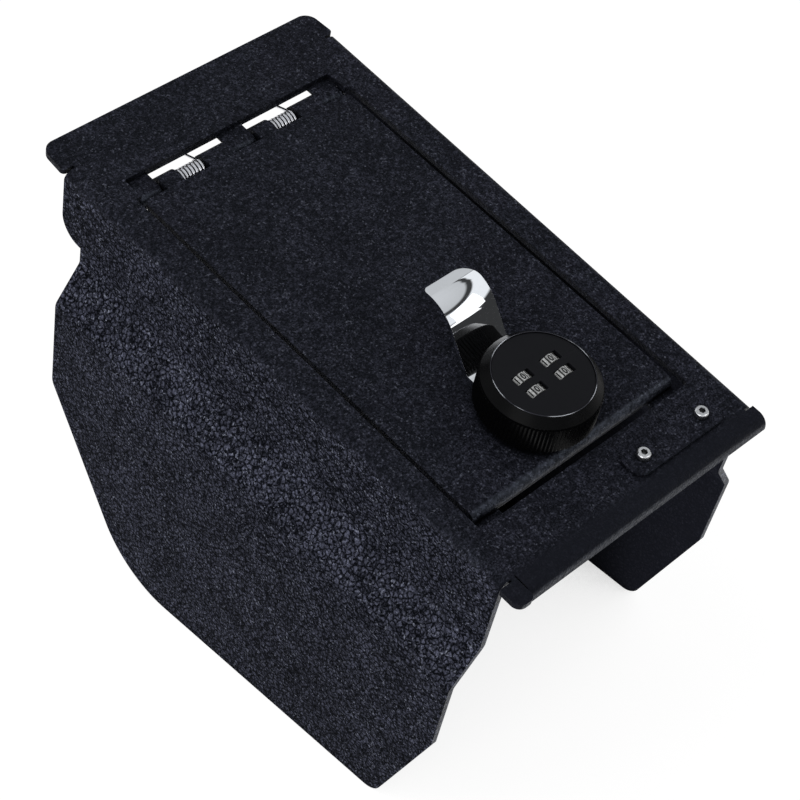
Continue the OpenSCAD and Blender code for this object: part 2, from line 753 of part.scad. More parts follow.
// Chromed finger pull, clamped between the lock and the lid
module finger_pull() {
    run_base = fold_run(pull_base_r, pull_angle);
    run_top = fold_run(pull_fold_r, pull_angle);
    rise = pull_h / sin(pull_angle);
    base_len = pull_fold_y - lock_y - pull_start - run_base;
    end_y = pull_fold_y + pull_h / tan(pull_angle) + pull_lip;
    color([0.85, 0.85, 0.87]) stand() translate([lock_x, 0, pull_top]) difference() {
        intersection() {
            translate([0, lock_y + pull_start, 0]) section_to_rear(pull_w + 8)
                folded([
                    [base_len],
                    [-pull_angle, pull_base_r],
                    [rise - run_base - run_top],
                    [pull_angle, pull_fold_r - pull_t],
                    [pull_lip - run_top]], pull_t);
            translate([0, 0, -2 * pull_t]) linear_extrude(height = pull_h + 4 * pull_t)
                rounded_outline([
                    [-pull_w / 2, lock_y + pull_start, 6],
                    [pull_w / 2, lock_y + pull_start, 6],
                    [pull_w / 2, end_y, 8],
                    [-pull_w / 2, end_y, 2]]);
        }
        translate([0, lock_y, -2 * pull_t]) cylinder(r = barrel_r + fixed_gap, h = 4 * pull_t);
    }
}

// Lock body: flanged barrel through the lid, with its washer and nut
module at_lock() {
    stand() translate([lock_x, lock_y, 0]) children();
}
module lock_barrel() {
    color([0.55, 0.55, 0.57]) at_lock() difference() {
        union() {
            translate([0, 0, pull_top]) cylinder(r = barrel_flange_r, h = barrel_flange_t);
            translate([0, 0, barrel_end]) cylinder(r = barrel_r, h = pull_top - barrel_end + bite);
        }
        translate([0, 0, barrel_end - 1]) cylinder(r = spindle_r + spindle_gap, h = 40);
    }
}
module lock_washer() {
    color([0.6, 0.6, 0.62]) at_lock() translate([0, 0, lid_bottom - washer_t]) difference() {
        cylinder(r = 14.5, h = washer_t);
        cylinder(r = barrel_r + fixed_gap, h = 4 * washer_t, center = true);
    }
}
module lock_nut() {
    color([0.6, 0.6, 0.62]) at_lock() translate([0, 0, nut_z]) difference() {
        cylinder(r = nut_across / sqrt(3), h = nut_t, $fn = 6);
        cylinder(r = barrel_r + fixed_gap, h = 4 * nut_t, center = true);
    }
}

// Knob: ribbed side, chamfered top, and a core with a pocket for the dials
module knob_housing() {
    rib_h = knob_h - knob_chamfer;
    outline = [for (i = [0 : 2 * rib_count - 1])
        let (a = i * 180 / rib_count, r = i % 2 == 0 ? knob_r : knob_r - rib_depth)
        r * [cos(a), sin(a)]];
    color([0.05, 0.05, 0.055]) at_lock() translate([0, 0, knob_z]) difference() {
        union() {
            linear_extrude(height = rib_h) polygon(outline);
            translate([0, 0, rib_h - 0.4]) cylinder(r = knob_r - rib_depth - 0.1, h = 1.2);
            translate([0, 0, rib_h + 0.8])
                cylinder(r1 = knob_r - rib_depth - 0.1, r2 = knob_top_r, h = knob_chamfer - 0.8);
        }
        translate([0, 0, face_z - knob_z]) cylinder(r = face_r + fixed_gap, h = 2 * knob_h);
        translate([-pocket_x, -pocket_y, core_floor - knob_z])
            cube([2 * pocket_x, 2 * pocket_y, 2 * knob_h]);
        for (side = [-1, 1])
            translate([side * axle_pitch / 2, 0, axle_z - knob_z]) rotate([90, 0, 0])
                cylinder(r = axle_r + fixed_gap, h = 2 * axle_half, center = true);
        translate([0, 0, -1]) cylinder(r = spindle_r + fixed_gap, h = core_floor - knob_z + 2);
    }
}
module knob_face() {
    color([0.16, 0.16, 0.17]) at_lock() translate([0, 0, face_z]) difference() {
        cylinder(r = face_r, h = face_t);
        for (sx = [-1, 1], sy = [-1, 1])
            translate([sx * axle_pitch / 2, sy * dial_pitch / 2, 0])
                cube([window_l, window_w, 4 * face_t], center = true);
    }
}
module dial_axle(side) {
    color([0.6, 0.6, 0.62]) at_lock() translate([side * axle_pitch / 2, 0, axle_z])
        rotate([90, 0, 0]) cylinder(r = axle_r, h = 2 * axle_half, center = true);
}
module dial_axle_left() { dial_axle(-1); }
module dial_axle_right() { dial_axle(1); }

// A dial: ten shallow grooves between its ten number places
module dial(sx, sy) {
    groove = 0.35;
    color([0.75, 0.75, 0.73]) at_lock()
        translate([sx * axle_pitch / 2, sy * dial_pitch / 2, axle_z]) rotate([90, 0, 0])
            difference() {
                cylinder(r = dial_r, h = dial_w, center = true);
                cylinder(r = axle_r + axle_gap, h = 2 * dial_w, center = true);
                for (i = [0 : 9]) rotate(i * 36 + 90 + 18) translate([dial_r + groove / 2, 0, 0])
                    cylinder(r = groove * 1.4, h = 2 * dial_w, center = true, $fn = 16);
            }
}
module dial_1() { dial(-1, 1); }
module dial_2() { dial(1, 1); }
module dial_3() { dial(-1, -1); }
module dial_4() { dial(1, -1); }

// Leaf springs on the pocket's floor that click into the dials' grooves
module detent_leaf(side) {
    top = axle_z - dial_r - move_gap;
    color([0.7, 0.65, 0.5]) at_lock()
        translate([side * axle_pitch / 2, 0, core_floor]) union() {
            translate([-5, -dial_pitch / 2 - 1.5, 0]) cube([10, dial_pitch + 3, leaf_t]);
            translate([-0.8, -dial_pitch / 2 - 1.5, 0])
                cube([1.6, dial_pitch + 3, top - core_floor]);
        }
}
module detent_leaf_left() { detent_leaf(-1); }
module detent_leaf_right() { detent_leaf(1); }

// Turning parts below the knob: spindle with two flats, cam, washer and screw
module flatted(r, w, h) {
    intersection() {
        cylinder(r = r, h = h);
        translate([-w / 2, -2 * r, 0]) cube([w, 4 * r, h]);
    }
}
module lock_spindle() {
    stub = cam_t - 0.1;
    color([0.6, 0.6, 0.62]) at_lock() difference() {
        union() {
            translate([0, 0, cam_top]) cylinder(r = spindle_r, h = core_floor - cam_top);
            translate([0, 0, cam_top - stub]) rotate([0, 0, 90]) flatted(flat_r, flat_w, stub + bite);
        }
        translate([0, 0, cam_top - cam_t - 1]) cylinder(r = cam_screw_r + fixed_gap, h = 11);
    }
}

// Cam: hub, joggle up towards the deck, and tip. It points left when unlocked.
module lock_cam() {
    angle = atan(cam_joggle / cam_joggle_l);
    slope = norm([cam_joggle, cam_joggle_l]);
    inner = 1;
    run = fold_run(inner, angle) + fold_run(inner + cam_t, angle);
    tail = cam_w / 2;
    color([0.62, 0.62, 0.64]) at_lock() rotate([0, 0, 90]) translate([0, 0, cam_top])
        difference() {
            intersection() {
                translate([0, -tail, 0]) section_to_rear(cam_w)
                    folded([
                        [tail + cam_hub_l - fold_run(inner, angle)],
                        [-angle, inner],
                        [slope - run],
                        [angle, inner],
                        [cam_reach]], cam_t);
                translate([0, 0, -20]) linear_extrude(height = 40)
                    rounded_box(cam_w, -tail, cam_reach, cam_w / 2 - 0.2);
            }
            translate([0, 0, -cam_t - 1]) flatted(flat_r + fixed_gap, flat_w + 2 * fixed_gap, 20);
        }
}
module cam_washer() {
    color([0.7, 0.7, 0.72]) at_lock() translate([0, 0, cam_top - cam_t - washer_t]) difference() {
        cylinder(r = 5.5, h = washer_t);
        cylinder(r = cam_screw_r + 0.15, h = 4 * washer_t, center = true);
    }
}
module cam_screw() {
    head = 2.4;
    under = cam_top - cam_t - washer_t;
    color([0.7, 0.7, 0.72]) at_lock() translate([0, 0, under]) difference() {
        union() {
            translate([0, 0, -head]) cylinder(r = 3.6, h = head);
            translate([0, 0, -bite]) cylinder(r = cam_screw_r, h = 8 + bite);
        }
        translate([0, 0, -head - 1]) cylinder(r = 1.6, h = 2.4, $fn = 6);
    }
}

body_shell();
hinge_leaf();
hinge_rod();
rod_clip_left();
rod_clip_right();
spring_left();
spring_right();
cover_plate();
cover_screws();
cover_nuts();
latch_strike();
lid_stop_left();
lid_stop_right();
lid_plate();
finger_pull();
lock_barrel();
lock_washer();
lock_nut();
knob_housing();
knob_face();
dial_axle_left();
dial_axle_right();
dial_1();
dial_2();
dial_3();
dial_4();
detent_leaf_left();
detent_leaf_right();
lock_spindle();
lock_cam();
cam_washer();
cam_screw();
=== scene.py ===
"""Looks of the console safe: a powder-coated steel shell with a sprung lid, a
chromed finger pull and a four-dial lock. Lengths are written in millimetres
and turned into metres where they meet Blender."""
import json
import math

import bpy
from mathutils import Matrix, Vector


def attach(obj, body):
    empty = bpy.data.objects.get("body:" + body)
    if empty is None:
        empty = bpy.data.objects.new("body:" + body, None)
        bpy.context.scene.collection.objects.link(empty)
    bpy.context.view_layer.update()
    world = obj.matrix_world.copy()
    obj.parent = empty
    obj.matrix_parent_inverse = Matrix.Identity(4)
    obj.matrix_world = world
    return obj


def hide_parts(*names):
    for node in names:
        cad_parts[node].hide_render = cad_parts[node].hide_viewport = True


MM = 0.001

# The deck's own frame: level with the deck, with its top face at height 0.
# The part is drawn in it, tipped by TILT and lifted onto the floor.
TILT = math.radians(9.74539)
LIFT = 183.9284
CENTRE_Y = 5.89554
DECK_AXES = {"Y": (0, math.cos(TILT), math.sin(TILT)),
             "Z": (0, -math.sin(TILT), math.cos(TILT))}

# Zones of the coat, each from where it starts to where it is full, in
# millimetres. Level and ahead are in the deck's frame, the rest in the part's.
WALL_LEVEL = (-0.6, -4.5)
WALL_OUTWARD = (60.0, 66.0)
STEP_TOP_LEVEL = (-40.0, -44.0)
STEP_FOOT_LEVEL = (-62.0, -58.0)
LIP_LEVEL = (-12.0, -8.0)
LIP_AHEAD = (-117.0, -124.0)
LIP_GLOSS_AHEAD = (-117.0, -122.0)
LID_FOLD_AHEAD = (-112.0, -108.0)
# Spans over which the painted shade on the walls' inner faces lightens toward the open ends
INSIDE_LIT_FRONT = (-50.0, -80.0)
INSIDE_LIT_REAR = (60.0, 120.0)

# Hinge and springs, in the deck's frame
ROD_Y = 102.7
ROD_Z = -6.78
SPRING_X = {"spring_left": -28.1, "spring_right": 21.9}
WIRE_D = 1.3
COIL_R = 4.1
COIL_PITCH = 1.75
COIL_TURNS = 6
REAR_LEG_DROP = 22
FRONT_LEG_DROP = 34
LEG_LEN = 9
LEG_STEPS = 6
LEG_TIP = 0.12
STEPS_PER_TURN = 40
TIP_SCALE = 0.72

# Lock and dials, in the deck's frame
LOCK = (-1.0, -70.1)
FACE_TOP = 18.4
KNOB_TOP = 18.7
RIM_R = 20.4
RIM_WIRE_R = 0.17
RIM_STEPS = 120
AXLE_Z = 13.9
AXLE_PITCH = 15.0
DIAL_PITCH = 7.5
DIAL_R = 5.0
DIAL_W = 3.7
WINDOW_W = 4.2
DIGITS = 10
DIGIT_H = 2.9
FONT_DIGIT_SHARE = 0.7
DIGIT_SQUEEZE = 0.82
DIGIT_BOLD = 0.13
PROUD = 0.03
GROOVE = 0.22
DIAL_SIDES = {"dial_1": (-1, 1), "dial_2": (1, 1), "dial_3": (-1, -1), "dial_4": (1, -1)}

# Camera fitted to the photograph, in the deck's frame
CAMERA = {
    "azimuth": -53.776,
    "elevation": 50.806,
    "roll": 13.843,
    "focal_px": 2168.609,
    "target": (-41.799, -37.92, 0.0),
    "distance": 820.202,
}
PHOTO_PX = 800
SENSOR = 36

# Rounding of sharp edges
WELD = 0.01
SHARP_ANGLE = math.radians(32)

# Setting, in metres
FLOOR = 8.0
MIDDLE = (0, 0, 0.14)
AMBIENT = 0.35


def deck_matrix():
    """Turns deck coordinates in metres into the shared frame."""
    place = Matrix.Translation((0, -CENTRE_Y * MM, LIFT * MM))
    return place @ Matrix.Rotation(TILT, 4, "X")


def deck_point(x, y, z):
    """A point given in the deck's frame in millimetres, in the shared frame."""
    return deck_matrix() @ (Vector((x, y, z)) * MM)


# Node helpers


class Nodes:
    """Short names for building one material's node tree."""

    def __init__(self, name):
        self.material = bpy.data.materials.new(name)
        self.material.use_nodes = True
        self.tree = self.material.node_tree
        self.shader = self.tree.nodes["Principled BSDF"]
        self.coords = self.add("ShaderNodeTexCoord").outputs["Object"]

    def add(self, kind, inputs=None, **settings):
        node = self.tree.nodes.new(kind)
        for key, value in settings.items():
            setattr(node, key, value)
        for key, value in (inputs or {}).items():
            self.feed(value, node.inputs[key])
        return node

    def feed(self, value, socket):
        if isinstance(value, bpy.types.NodeSocket):
            self.tree.links.new(value, socket)
        else:
            socket.default_value = value

    def noise(self, size, detail=3.0, roughness=0.5):
        """Noise whose features are about size millimetres across."""
        inputs = {"Vector": self.coords, "Scale": 1 / (size * MM),
                  "Detail": detail, "Roughness": roughness}
        return self.add("ShaderNodeTexNoise", inputs).outputs["Fac"]

    def cells(self, size, coords):
        """Distance to the nearest edge between cells of about size millimetres."""
        inputs = {"Vector": coords, "Scale": 1 / (size * MM)}
        node = self.add("ShaderNodeTexVoronoi", inputs, feature="DISTANCE_TO_EDGE")
        return node.outputs["Distance"]

    def place(self, axis):
        """Place along one of the part's own axes, in millimetres."""
        parts = self.add("ShaderNodeSeparateXYZ")
        self.feed(self.coords, parts.inputs[0])
        return self.times(parts.outputs[axis], 1 / MM)

    def deck_axis(self, axis):
        """Place along the deck's own Y or Z axis, in millimetres."""
        direction = DECK_AXES[axis]
        origin = Vector((0, -CENTRE_Y, LIFT)).dot(direction)
        along = self.add("ShaderNodeVectorMath", operation="DOT_PRODUCT")
        self.feed(self.coords, along.inputs[0])
        along.inputs[1].default_value = [v / MM for v in direction]
        return self.math("SUBTRACT", along.outputs["Value"], origin)

    def inner_side(self):
        """1 on faces that look toward the middle of the part, 0 elsewhere."""
        facing = self.add("ShaderNodeSeparateXYZ")
        self.feed(self.add("ShaderNodeNewGeometry").outputs["True Normal"], facing.inputs[0])
        side = self.math("SIGN", self.place("X"))
        return self.remap(self.times(side, facing.outputs["X"]), -0.05, -0.3)

    def facing(self, axis):
        """How far a face looks along the deck's own Y or Z axis, from -1 to 1."""
        along = self.add("ShaderNodeVectorMath", operation="DOT_PRODUCT")
        self.feed(self.add("ShaderNodeNewGeometry").outputs["Normal"], along.inputs[0])
        along.inputs[1].default_value = DECK_AXES[axis]
        return along.outputs["Value"]

    def mean(self, factor, a, b):
        """Value from a to b as factor goes from 0 to 1."""
        node = self.add("ShaderNodeMix", data_type="FLOAT")
        for key, value in (("Factor", factor), ("A", a), ("B", b)):
            socket = next(s for s in node.inputs if s.name == key and s.type == "VALUE")
            self.feed(value, socket)
        return next(s for s in node.outputs if s.type == "VALUE")

    def math(self, operation, a, b=0.0):
        return self.add("ShaderNodeMath", {0: a, 1: b}, operation=operation).outputs[0]

    def times(self, a, b):
        return self.math("MULTIPLY", a, b)

    def remap(self, value, low, high, to_low=0.0, to_high=1.0):
        """Value from low..high to to_low..to_high, clamped and smoothed."""
        inputs = {"Value": value, "From Min": low, "From Max": high,
                  "To Min": to_low, "To Max": to_high}
        node = self.add("ShaderNodeMapRange", inputs, interpolation_type="SMOOTHSTEP")
        return node.outputs["Result"]

    def openness(self, reach, samples=6):
        """How open a spot is within reach millimetres, from 0 to 1."""
        inputs = {"Distance": reach * MM}
        return self.add("ShaderNodeAmbientOcclusion", inputs, samples=samples).outputs["AO"]

    def blend(self, factor, a, b):
        """Colour from a to b as factor goes from 0 to 1."""
        node = self.add("ShaderNodeMix", data_type="RGBA")
        self.feed(factor, node.inputs["Factor"])
        for key, colour in (("A", a), ("B", b)):
            socket = next(s for s in node.inputs if s.name == key and s.type == "RGBA")
            self.feed(colour, socket)
        return next(s for s in node.outputs if s.type == "RGBA")

    def warped(self, size, amount):
        """Coordinates pushed about by noise, both in millimetres."""
        inputs = {"Vector": self.coords, "Scale": 1 / (size * MM), "Detail": 2.0}
        push = self.add("ShaderNodeTexNoise", inputs).outputs["Color"]
        centred = self.add("ShaderNodeVectorMath", operation="SUBTRACT")
        self.feed(push, centred.inputs[0])
        centred.inputs[1].default_value = (0.5, 0.5, 0.5)
        scaled = self.add("ShaderNodeVectorMath", operation="SCALE")
        self.feed(centred.outputs[0], scaled.inputs[0])
        scaled.inputs["Scale"].default_value = 2 * amount * MM
        total = self.add("ShaderNodeVectorMath", operation="ADD")
        self.feed(self.coords, total.inputs[0])
        self.feed(scaled.outputs[0], total.inputs[1])
        return total.outputs[0]

    def bump(self, height, depth, strength=1.0):
        """Bump of depth millimetres. Feeds the shader's normal."""
        inputs = {"Height": height, "Distance": depth * MM, "Strength": strength}
        self.set(Normal=self.add("ShaderNodeBump", inputs).outputs[0])

    def set(self, **values):
        """Sets sockets of the shader, with underscores for spaces in names."""
        for key, value in values.items():
            self.feed(value, self.shader.inputs[key.replace("_", " ")])


# Materials


def powder_coat(name):
    """Black wrinkle powder coat: pale cells parted by creases painted dark as shade,
    with small pale spots painted on as glints. Walls and step are painted paler for the
    light they get, and the walls' inner faces and closed-in corners are painted darker as
    shade. The cells are finer on deck and lid than on the walls, and the front lip is nearly
    smooth."""
    m = Nodes(name)
    level, ahead = m.deck_axis("Z"), m.deck_axis("Y")
    outward = m.math("ABSOLUTE", m.place("X"))
    wall = m.times(m.remap(level, *WALL_LEVEL), m.remap(outward, *WALL_OUTWARD))
    lip = m.times(m.remap(ahead, *LIP_AHEAD), m.remap(level, *LIP_LEVEL))
    step = m.times(m.remap(level, *STEP_FOOT_LEVEL), m.remap(level, *STEP_TOP_LEVEL))
    inside = m.times(m.inner_side(), wall)

    warped = m.warped(2.4, 1.15)
    large = m.remap(m.cells(2.3, warped), 0.03, 0.26)
    small = m.remap(m.cells(1.5, warped), 0.03, 0.40)
    creases = m.mean(wall, small, m.mean(0.3, large, small))
    grain = m.remap(m.noise(0.8, 2.0, 0.6), 0.34, 0.68)
    clumps = m.remap(m.noise(2.2, 2.0, 0.6), 0.36, 0.66)
    patches = m.remap(m.noise(22.0, 4.0, 0.6), 0.32, 0.68, 0.62, 1.0)
    # Painted shade: the coat is painted darker where it is closed in within 8 mm
    crevice_shade = m.remap(m.openness(8.0), 0.30, 0.80, 0.06, 1.0)

    # How pale the coat is: its grain, then the painted shade and light of each zone
    tone = m.times(m.mean(grain, m.mean(wall, 0.10, 0.24), 1.0),
                   m.mean(clumps, m.mean(wall, 0.30, 0.50), 1.0))
    # Painted shade: the creases between cells are painted darker, fully on walls, half on deck
    # and lid
    tone = m.times(tone, m.mean(m.mean(wall, 0.5, 1.0), 1.0, creases))
    # Painted light: the walls are painted paler than deck and lid, for the light on their sides
    tone = m.times(tone, m.mean(wall, 0.32, 0.92))
    tone = m.times(tone, patches)
    # Painted light: the outward step is painted paler, for the light falling on it from above
    tone = m.times(tone, m.mean(step, 0.90, 1.18))
    tone = m.mean(lip, tone, m.mean(0.8, tone, 0.03))
    # Painted shade on the walls' inner faces: evened toward a dark level, darkest midway between
    # front and rear
    tone = m.mean(inside, tone, m.mean(0.85, tone, 0.10))
    lit = m.math("MAXIMUM", m.remap(m.place("Y"), *INSIDE_LIT_FRONT, 0.12, 1.0),
                 m.remap(m.place("Y"), *INSIDE_LIT_REAR, 0.12, 1.0))
    tone = m.times(tone, m.mean(inside, 1.0, lit))
    # Painted shade in closed-in corners and gaps
    tone = m.times(tone, crevice_shade)

    # Painted glints: small pale spots painted in as light glinting off the coat, more on the
    # walls,
    # few on the lip, and dimmed by the painted shade in corners and on inner faces
    painted_glint = m.remap(m.noise(1.1, 2.0, 0.6), 0.58, 0.72)
    painted_glint = m.times(painted_glint, m.remap(m.noise(3.6, 2.0), 0.42, 0.60))
    painted_glint = m.times(painted_glint, m.mean(lip, m.mean(wall, 0.28, 0.9), 0.02))
    painted_glint = m.times(painted_glint, m.mean(inside, crevice_shade, 0.1))

    height = m.math("ADD", m.times(creases, 0.5), m.times(grain, 0.3))
    m.bump(m.math("ADD", height, m.times(m.noise(6.0, 2.0), 0.35)), 0.25)

    # Gloss where hands rub: the lid's front fold and the lip's lower edge
    forward = m.facing("Y")
    fold = m.times(m.remap(forward, -0.16, -0.40), m.remap(m.facing("Z"), 0.10, 0.30))
    fold = m.times(fold, m.remap(ahead, *LID_FOLD_AHEAD))
    brow = m.times(m.remap(forward, -0.84, -0.93), m.remap(ahead, *LIP_GLOSS_AHEAD))
    worn = m.times(m.math("MAXIMUM", fold, m.times(brow, 0.7)), m.mean(clumps, 0.45, 1.0))

    # Colour from dark to light by tone, which carries the painted shade and light above;
    # pale is the colour of the painted glints
    dark, light = (0.0030, 0.0034, 0.0046, 1), (0.205, 0.217, 0.310, 1)
    pale = (0.250, 0.268, 0.340, 1)
    m.set(Base_Color=m.blend(painted_glint, m.blend(tone, dark, light), pale),
          Roughness=m.remap(grain, 0.2, 0.8, 0.38, 0.55),
          Specular_IOR_Level=m.mean(worn, m.mean(wall, 0.03, 0.002), 0.55),
          Specular_Tint=(0.70, 0.80, 1.0, 1))
    return m.material


def plated_steel(name, tint=(0.62, 0.62, 0.63), rough=(0.22, 0.36)):
    """Plated steel with faint brush lines and a little unevenness, and painted shade in its
    hollows.
    """
    m = Nodes(name)
    fine = m.noise(0.4, 3.0)
    broad = m.noise(6.0, 3.0)
    lighter = tuple(min(1.0, c * 1.12) for c in tint) + (1,)
    # Painted shade: the colour falls to a tenth where the steel is closed in within 2.2 mm,
    # as in screw sockets and between spring coils
    recess_shade = m.remap(m.openness(2.2), 0.35, 0.80)
    dark = tuple(c * 0.10 for c in tint) + (1,)
    m.set(Base_Color=m.blend(recess_shade, dark, m.blend(broad, tuple(tint) + (1,), lighter)),
          Metallic=1.0, Roughness=m.remap(fine, 0.3, 0.7, *rough))
    m.bump(fine, 0.012, 0.6)
    return m.material


def chrome(name):
    """Bright chrome with a trace of waviness and fine rubbing marks."""
    m = Nodes(name)
    wave = m.noise(14.0, 1.0)
    rubs = m.noise(1.2, 4.0, 0.7)
    m.set(Base_Color=m.blend(rubs, (0.80, 0.81, 0.83, 1), (0.88, 0.89, 0.91, 1)),
          Metallic=1.0, Roughness=m.remap(rubs, 0.45, 0.8, 0.035, 0.1))
    m.bump(wave, 0.12, 0.5)
    return m.material


def knob_black(name):
    """Satin black paint on the knob, slightly worn grey on its grain."""
    m = Nodes(name)
    grain = m.noise(0.5, 3.0)
    m.set(Base_Color=m.blend(m.remap(grain, 0.5, 0.8), (0.0016, 0.0016, 0.0018, 1),
                             (0.0040, 0.0040, 0.0044, 1)),
          Roughness=m.remap(grain, 0.3, 0.7, 0.24, 0.36), Specular_IOR_Level=0.055)
    m.bump(grain, 0.02, 0.5)
    return m.material


def knob_grey(name):
    """Matte dark grey face of the knob, with a fine even grain."""
    m = Nodes(name)
    grain = m.noise(0.35, 3.0)
    clouds = m.noise(9.0, 2.0)
    m.set(Base_Color=m.blend(clouds, (0.0046, 0.0048, 0.0062, 1), (0.0062, 0.0064, 0.0080, 1)),
          Roughness=m.remap(grain, 0.3, 0.7, 0.42, 0.55), Specular_IOR_Level=0.10)
    m.bump(grain, 0.02, 0.6)
    return m.material


def knob_edge(name):
    """Polished rim round the knob's face, with faint turning marks."""
    m = Nodes(name)
    fine = m.noise(0.3, 2.0)
    worn = m.remap(m.noise(11.0, 1.0), 0.46, 0.60)
    m.set(Base_Color=m.blend(worn, (0.05, 0.05, 0.06, 1), (0.60, 0.61, 0.65, 1)), Metallic=1.0,
          Roughness=m.remap(fine, 0.3, 0.7, 0.12, 0.22))
    return m.material


def dial_metal(name):
    """Satin number wheel, brushed round its rim."""
    m = Nodes(name)
    fine = m.noise(0.3, 3.0)
    worn = m.remap(m.noise(1.1, 3.0), 0.35, 0.7)
    m.set(Base_Color=m.blend(worn, (0.34, 0.34, 0.335, 1), (0.58, 0.58, 0.57, 1)),
          Metallic=0.7, Roughness=m.remap(fine, 0.3, 0.7, 0.3, 0.45))
    m.bump(fine, 0.01, 0.5)
    return m.material


def number_ink(name):
    """Black paint in the dials' numbers and the index lines."""
    m = Nodes(name)
    grain = m.noise(0.25, 2.0)
    m.set(Base_Color=m.blend(grain, (0.006, 0.006, 0.006, 1), (0.014, 0.014, 0.014, 1)),
          Roughness=m.remap(grain, 0.3, 0.7, 0.5, 0.65), Specular_IOR_Level=0.1)
    return m.material


def paint(node, material):
    """Gives a CAD node's object one material."""
    node.data.materials.clear()
    node.data.materials.append(material)


def soften(node, width):
    """Rounds a CAD node's sharp edges by width millimetres, so they catch light."""
    weld = node.modifiers.new("weld", "WELD")
    weld.merge_threshold = WELD * MM
    bevel = node.modifiers.new("edges", "BEVEL")
    bevel.width = width * MM
    bevel.segments = 2
    bevel.limit_method = "ANGLE"
    bevel.angle_limit = SHARP_ANGLE
    bevel.harden_normals = True
    bevel.use_clamp_overlap = True


# Made pieces


def new_piece(name, verts, faces, material, smooth=True):
    mesh = bpy.data.meshes.new(name)
    mesh.from_pydata([tuple(v) for v in verts], [], faces)
    mesh.validate()
    mesh.materials.append(material)
    if smooth:
        mesh.polygons.foreach_set("use_smooth", [True] * len(mesh.polygons))
    piece = bpy.data.objects.new(name, mesh)
    bpy.context.scene.collection.objects.link(piece)
    return piece


def tube(points, radius):
    """Round tube along points, with rings turned as little as possible."""
    verts, faces, sides = [], [], 14
    count = len(points)
    across = Vector((1, 0, 0))
    for i, point in enumerate(points):
        ahead = (points[min(i + 1, count - 1)] - points[max(i - 1, 0)]).normalized()
        across = (across - ahead * across.dot(ahead)).normalized()
        other = ahead.cross(across)
        scale = TIP_SCALE if i in (0, count - 1) else 1.0
        for k in range(sides):
            a = 2 * math.pi * k / sides
            verts.append(point + radius * scale * (across * math.cos(a) + other * math.sin(a)))
    for i in range(count - 1):
        for k in range(sides):
            a, b = i * sides + k, i * sides + (k + 1) % sides
            faces.append((a, b, b + sides, a + sides))
    faces.append(tuple(reversed(range(sides))))
    faces.append(tuple((count - 1) * sides + k for k in range(sides)))
    return verts, faces


def spring_route():
    """Points of a spring round the rod, in the deck's frame about the rod's axis."""
    start = 90 - REAR_LEG_DROP
    stop = 90 + FRONT_LEG_DROP + 360 * COIL_TURNS

    def on_coil(a):
        x = COIL_PITCH * ((stop - start) / 2 + start - a) / 360
        return Vector((x, COIL_R * math.cos(math.radians(a)),
                       COIL_R * math.sin(math.radians(a))))

    rear = Vector((0, math.sin(math.radians(start)), -math.cos(math.radians(start))))
    front = Vector((0, -math.sin(math.radians(stop)), math.cos(math.radians(stop))))
    steps = STEPS_PER_TURN * COIL_TURNS
    points = [on_coil(start) + rear * LEG_LEN * k / LEG_STEPS for k in range(LEG_STEPS, 0, -1)]
    points.insert(0, points[0] + rear * LEG_TIP)
    points += [on_coil(start + (stop - start) * i / steps) for i in range(steps + 1)]
    points += [on_coil(stop) + front * LEG_LEN * k / LEG_STEPS for k in range(1, LEG_STEPS + 1)]
    points.append(points[-1] + front * LEG_TIP)
    return points


def make_spring(node, material):
    middle = Vector((SPRING_X[node], ROD_Y, ROD_Z))
    route = [deck_point(*(middle + p)) for p in spring_route()]
    verts, faces = tube(route, WIRE_D / 2 * MM)
    piece = new_piece(node + "_wire", verts, faces, material)
    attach(piece, "body")
    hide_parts(node)


def digit_outline(digit):
    """Flat faces of one digit, centred on the origin, in millimetres."""
    curve = bpy.data.curves.new("digit", "FONT")
    curve.body = str(digit)
    curve.align_x = "CENTER"
    curve.align_y = "CENTER"
    curve.size = DIGIT_H / FONT_DIGIT_SHARE
    curve.offset = DIGIT_BOLD
    curve.resolution_u = 3
    maker = bpy.data.objects.new("digit", curve)
    bpy.context.scene.collection.objects.link(maker)
    bpy.context.view_layer.update()
    mesh = maker.to_mesh()
    verts = [v.co.copy() for v in mesh.vertices]
    faces = [tuple(p.vertices) for p in mesh.polygons]
    maker.to_mesh_clear()
    bpy.data.objects.remove(maker)
    bpy.data.curves.remove(curve)
    middle = (min(v.x for v in verts) + max(v.x for v in verts)) / 2
    level = (min(v.y for v in verts) + max(v.y for v in verts)) / 2
    return [(v.x - middle, v.y - level) for v in verts], faces


def make_numbers(node, ink):
    """The ten numbers round a dial's rim, wrapped onto it, and the dark lines
    in the grooves between them."""
    side_x, side_y = DIAL_SIDES[node]
    axle = Vector((LOCK[0] + side_x * AXLE_PITCH / 2, LOCK[1] + side_y * DIAL_PITCH / 2, AXLE_Z))
    verts, faces = [], []

    def wrap(outline, outline_faces, turn, radius):
        first = len(verts)
        for u, v in outline:
            angle = turn + u / radius
            point = axle + Vector((radius * math.sin(angle), v, radius * math.cos(angle)))
            verts.append(deck_point(*point))
        faces.extend(tuple(first + i for i in f) for f in outline_faces)

    half_w, half_l = 0.26, DIAL_W / 2 - 0.05
    line = [(-half_w, -half_l), (half_w, -half_l), (half_w, half_l), (-half_w, half_l)]
    step = 2 * math.pi / DIGITS
    for digit in range(DIGITS):
        flat, digit_faces = digit_outline(digit)
        wrap([(u * DIGIT_SQUEEZE, v) for u, v in flat], digit_faces, -step * digit,
             DIAL_R + PROUD)
        wrap(line, [(0, 1, 2, 3)], step * (digit + 0.5), DIAL_R - GROOVE)
    piece = new_piece(node + "_numbers", verts, faces, ink, smooth=False)
    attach(piece, node)


